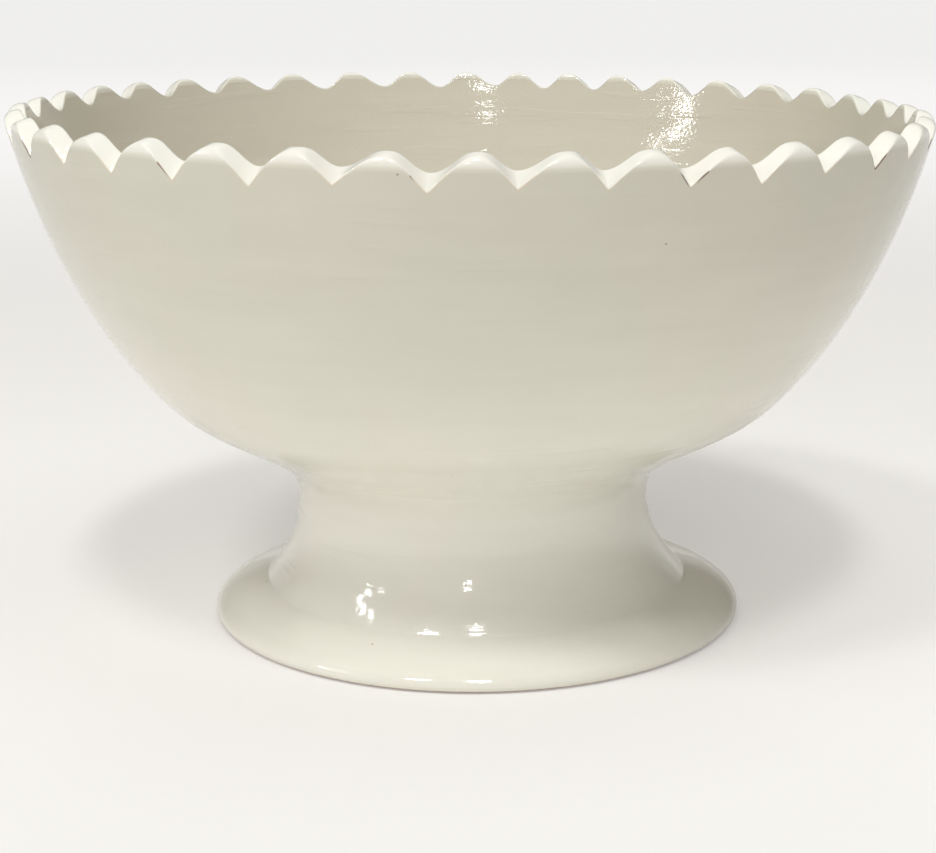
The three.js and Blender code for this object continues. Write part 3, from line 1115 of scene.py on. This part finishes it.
@dataclass(frozen=True)
class PaleSweep:
    """The matt pale floor that the dish stands on."""

    name: str = "pale_floor"
    tone: str = "fbf9f5"
    shade: str = "f9f7f3"
    near_glow: float = 0.3
    far_glow: float = 0.75
    glow_run: Pair = (0.35, 1.8)

    def make(self) -> bpy.types.Material:
        """Makes the floor's material.

        Returns:
            The material.
        """
        bench = Bench.for_finish(self.name)
        colour = bench.mix(bench.cloud(3.0).ramp(0.3, 0.7), paint(self.tone), paint(self.shade))
        sockets = {"Base Color": colour, "Roughness": 0.95, "Specular IOR Level": 0.1}
        matt = bench.add("ShaderNodeBsdfPrincipled", {}, sockets)
        white = bench.add("ShaderNodeEmission", {}, {"Color": WHITE, "Strength": 1.0})
        rays = ("Is Camera Ray", "Is Glossy Ray", "Is Transmission Ray")
        camera, glossy, through = (bench.add("ShaderNodeLightPath", out=ray) for ray in rays)
        seen = (camera + glossy + through).ramp(0.0, 1.0)
        away = bench.add("ShaderNodeVectorMath", {"operation": "LENGTH"}, {0: bench.place()}, out="Value")
        glow = self.near_glow + (self.far_glow - self.near_glow) * away.ramp(*self.glow_run)
        return bench.finish(bench.add("ShaderNodeMixShader", {}, {0: seen * glow, 1: matt, 2: white}))


@dataclass(frozen=True)
class Key:
    """A far lamp: its angles above level and right of the front, how wide it looks, and its strength."""

    name: str
    height: float
    turn: float
    spread: float
    strength: float


@dataclass(frozen=True)
class Lamp:
    """A near lamp: its place and size in metres, its power, its tint and whether the glaze mirrors it."""

    name: str
    place: Triple
    size: Pair
    watts: float
    tint: Triple = WHITE[:3]
    mirrored: bool = False


def bulb(name: str, place: Triple, size: float, watts: float) -> Lamp:
    """A small round lamp that the glaze mirrors."""
    return Lamp(name, place, (size, size), watts, mirrored=True)


@dataclass
class Studio:
    """The floor, the light and the camera."""

    floor_size: float = 60.0
    room_tint: Triple = (1.0, 0.91, 0.78)
    ambient: float = 0.13
    backdrop: float = 0.45
    backdrop_turn: Pair = (-0.1, 0.4)
    backdrop_fade: Pair = (0.2, 0.03)
    keys: tuple[Key, ...] = (
        Key("front_key", 64.5, 0.0, 7.0, 0.45),
        Key("low_key", 58.5, 0.0, 6.0, 0.36),
        Key("left_key", 58.0, -37.0, 9.0, 0.56),
    )
    soft_boxes: tuple[Lamp, ...] = (
        Lamp("left_soft_box", (-2.15, -0.5, 0.8), (1.8, 1.2), 1.4, (1.0, 0.95, 0.88)),
        Lamp("front_soft_box", (-0.2, -2.2, 0.8), (1.8, 1.2), 8.6),
        Lamp("top_soft_box", (0.1, -0.05, 0.7), (0.5, 0.5), 1.5),
        Lamp("back_soft_box", (0.0, 2.3, 1.3), (1.2, 1.2), 9.0, (1.0, 0.95, 0.88)),
    )
    aim_height: float = 0.09
    bulbs: tuple[Lamp, ...] = (
        bulb("front_bulb_low", (-0.134, -1.962, 0.917), 0.13, 1.1),
        bulb("front_bulb_high", (-0.133, -1.86, 1.107), 0.13, 1.1),
        bulb("left_bulb_1", (-0.76, -0.457, 0.484), 0.05, 0.14),
        bulb("left_bulb_2", (-0.811, -0.341, 0.491), 0.065, 0.26),
        bulb("left_bulb_3", (-0.814, -0.248, 0.534), 0.065, 0.26),
        bulb("left_bulb_4", (-0.769, -0.247, 0.593), 0.065, 0.26),
        bulb("left_bulb_5", (-0.709, -0.296, 0.642), 0.05, 0.14),
    )
    camera_place: Triple = (0.0, -0.690, 0.2357)
    camera_lens: float = 77.6
    camera_sensor: float = 36.0
    camera_yaw: float = 0.1818
    camera_pitch: float = -13.94
    camera_roll: float = -0.40

    def lay_floor(self) -> None:
        """Lays the floor."""
        half = self.floor_size / 2.0
        mesh = bpy.data.meshes.new("floor")
        corners = [(-half, -half, 0.0), (half, -half, 0.0), (half, half, 0.0), (-half, half, 0.0)]
        mesh.from_pydata(corners, [], [(0, 1, 2, 3)])
        mesh.materials.append(PaleSweep().make())
        floor = link("floor", mesh)

    def light_room(self) -> None:
        """Gives the room a dim warm light and a pale horizon behind the dish."""
        world = bpy.data.worlds.new("soft_room")
        bpy.context.scene.world = world
        bench = Bench(world)
        place = bench.add("ShaderNodeTexCoord", out="Generated")
        behind, up = (bench.add("ShaderNodeSeparateXYZ", {}, {0: place}, out=axis) for axis in "YZ")
        pale = self.backdrop * behind.ramp(*self.backdrop_turn) * up.ramp(*self.backdrop_fade)
        dim = {"Color": (*self.room_tint, 1.0), "Strength": self.ambient}
        room = bench.add("ShaderNodeBackground", {}, dim)
        wall = bench.add("ShaderNodeBackground", {}, {"Color": WHITE, "Strength": pale})
        bench.finish(bench.add("ShaderNodeAddShader", {}, {0: room, 1: wall}))

    def light_key(self, key: Key) -> None:
        """Lights the dish from far off."""
        data = bpy.data.lights.new(key.name, "SUN")
        data.energy = key.strength
        data.angle = math.radians(key.spread)
        lamp = link(key.name, data)
        lamp.rotation_euler = (math.radians(90.0 - key.height), 0.0, math.radians(key.turn))

    def hang(self, lamp: Lamp) -> None:
        """Sets up a near lamp and turns it to the middle of the dish.

        Args:
            lamp: what it is like.
        """
        data = bpy.data.lights.new(lamp.name, "AREA")
        data.shape = "DISK" if lamp.mirrored else "RECTANGLE"
        data.size, data.size_y = lamp.size
        data.energy = lamp.watts
        data.color = lamp.tint
        made = link(lamp.name, data)
        made.location = lamp.place
        aim = Vector((0.0, 0.0, self.aim_height)) - Vector(lamp.place)
        made.rotation_euler = aim.to_track_quat("-Z", "Y").to_euler()
        made.visible_glossy = lamp.mirrored

    def set_camera(self) -> None:
        """Sets up the camera."""
        data = bpy.data.cameras.new("camera")
        data.sensor_fit = "HORIZONTAL"
        data.sensor_width = self.camera_sensor
        data.lens = self.camera_lens
        camera = link("camera", data)
        yaw = Matrix.Rotation(math.radians(self.camera_yaw), 4, "Z")
        pitch = Matrix.Rotation(math.radians(90.0 + self.camera_pitch), 4, "X")
        roll = Matrix.Rotation(math.radians(self.camera_roll), 4, "Z")
        camera.matrix_world = Matrix.Translation(self.camera_place) @ yaw @ pitch @ roll
        bpy.context.scene.camera = camera

    def build(self) -> None:
        """Sets up the whole studio."""
        bpy.context.scene.view_settings.view_transform = "Standard"
        self.lay_floor()
        self.light_room()
        for key in self.keys:
            self.light_key(key)
        for lamp in self.soft_boxes + self.bulbs:
            self.hang(lamp)
        self.set_camera()


def dress(piece: bpy.types.Object, material: bpy.types.Material, slot: Slot, *nodes: str) -> None:
    """Finishes a piece and sets it in the frame.

    Args:
        piece: the object.
        material: its finish.
        slot: the material slot that its finish is named after.
        nodes: the CAD nodes that it stands for.
    """
    piece.data.materials.append(material)
    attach(piece, BODY)
    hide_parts(*nodes)
    count = len(piece.data.vertices)
    LOG.info("%s: %d vertices, slot %s, stands for %s", piece.name, count, slot.value, ", ".join(nodes))


def main() -> None:
    """Builds the studio and the dish's pieces in order."""
    logging.basicConfig(level=logging.INFO, format="%(name)s: %(message)s")
    Studio().build()
    foot = PedestalFoot()
    pieces = (
        (Bowl(), Slot.BOWL, "bowl"),
        (foot, Slot.FOOT, "pedestal_foot"),
        (OuterCoil(foot), Slot.COIL, "outer_luting_coil"),
        (InnerCoil(), Slot.HOLLOW, "inner_luting_coil"),
    )
    for piece, slot, node in pieces:
        dress(piece.build(), WhiteGlaze(slot.value).make(), slot, node)
    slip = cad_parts["luting_slip"]
    slip.data.materials.clear()
    slip.data.materials.append(FiredSlip().make())
    LOG.info("luting_slip: kept from the CAD, with a dry slip finish")


if __name__ == "__main__":
    main()
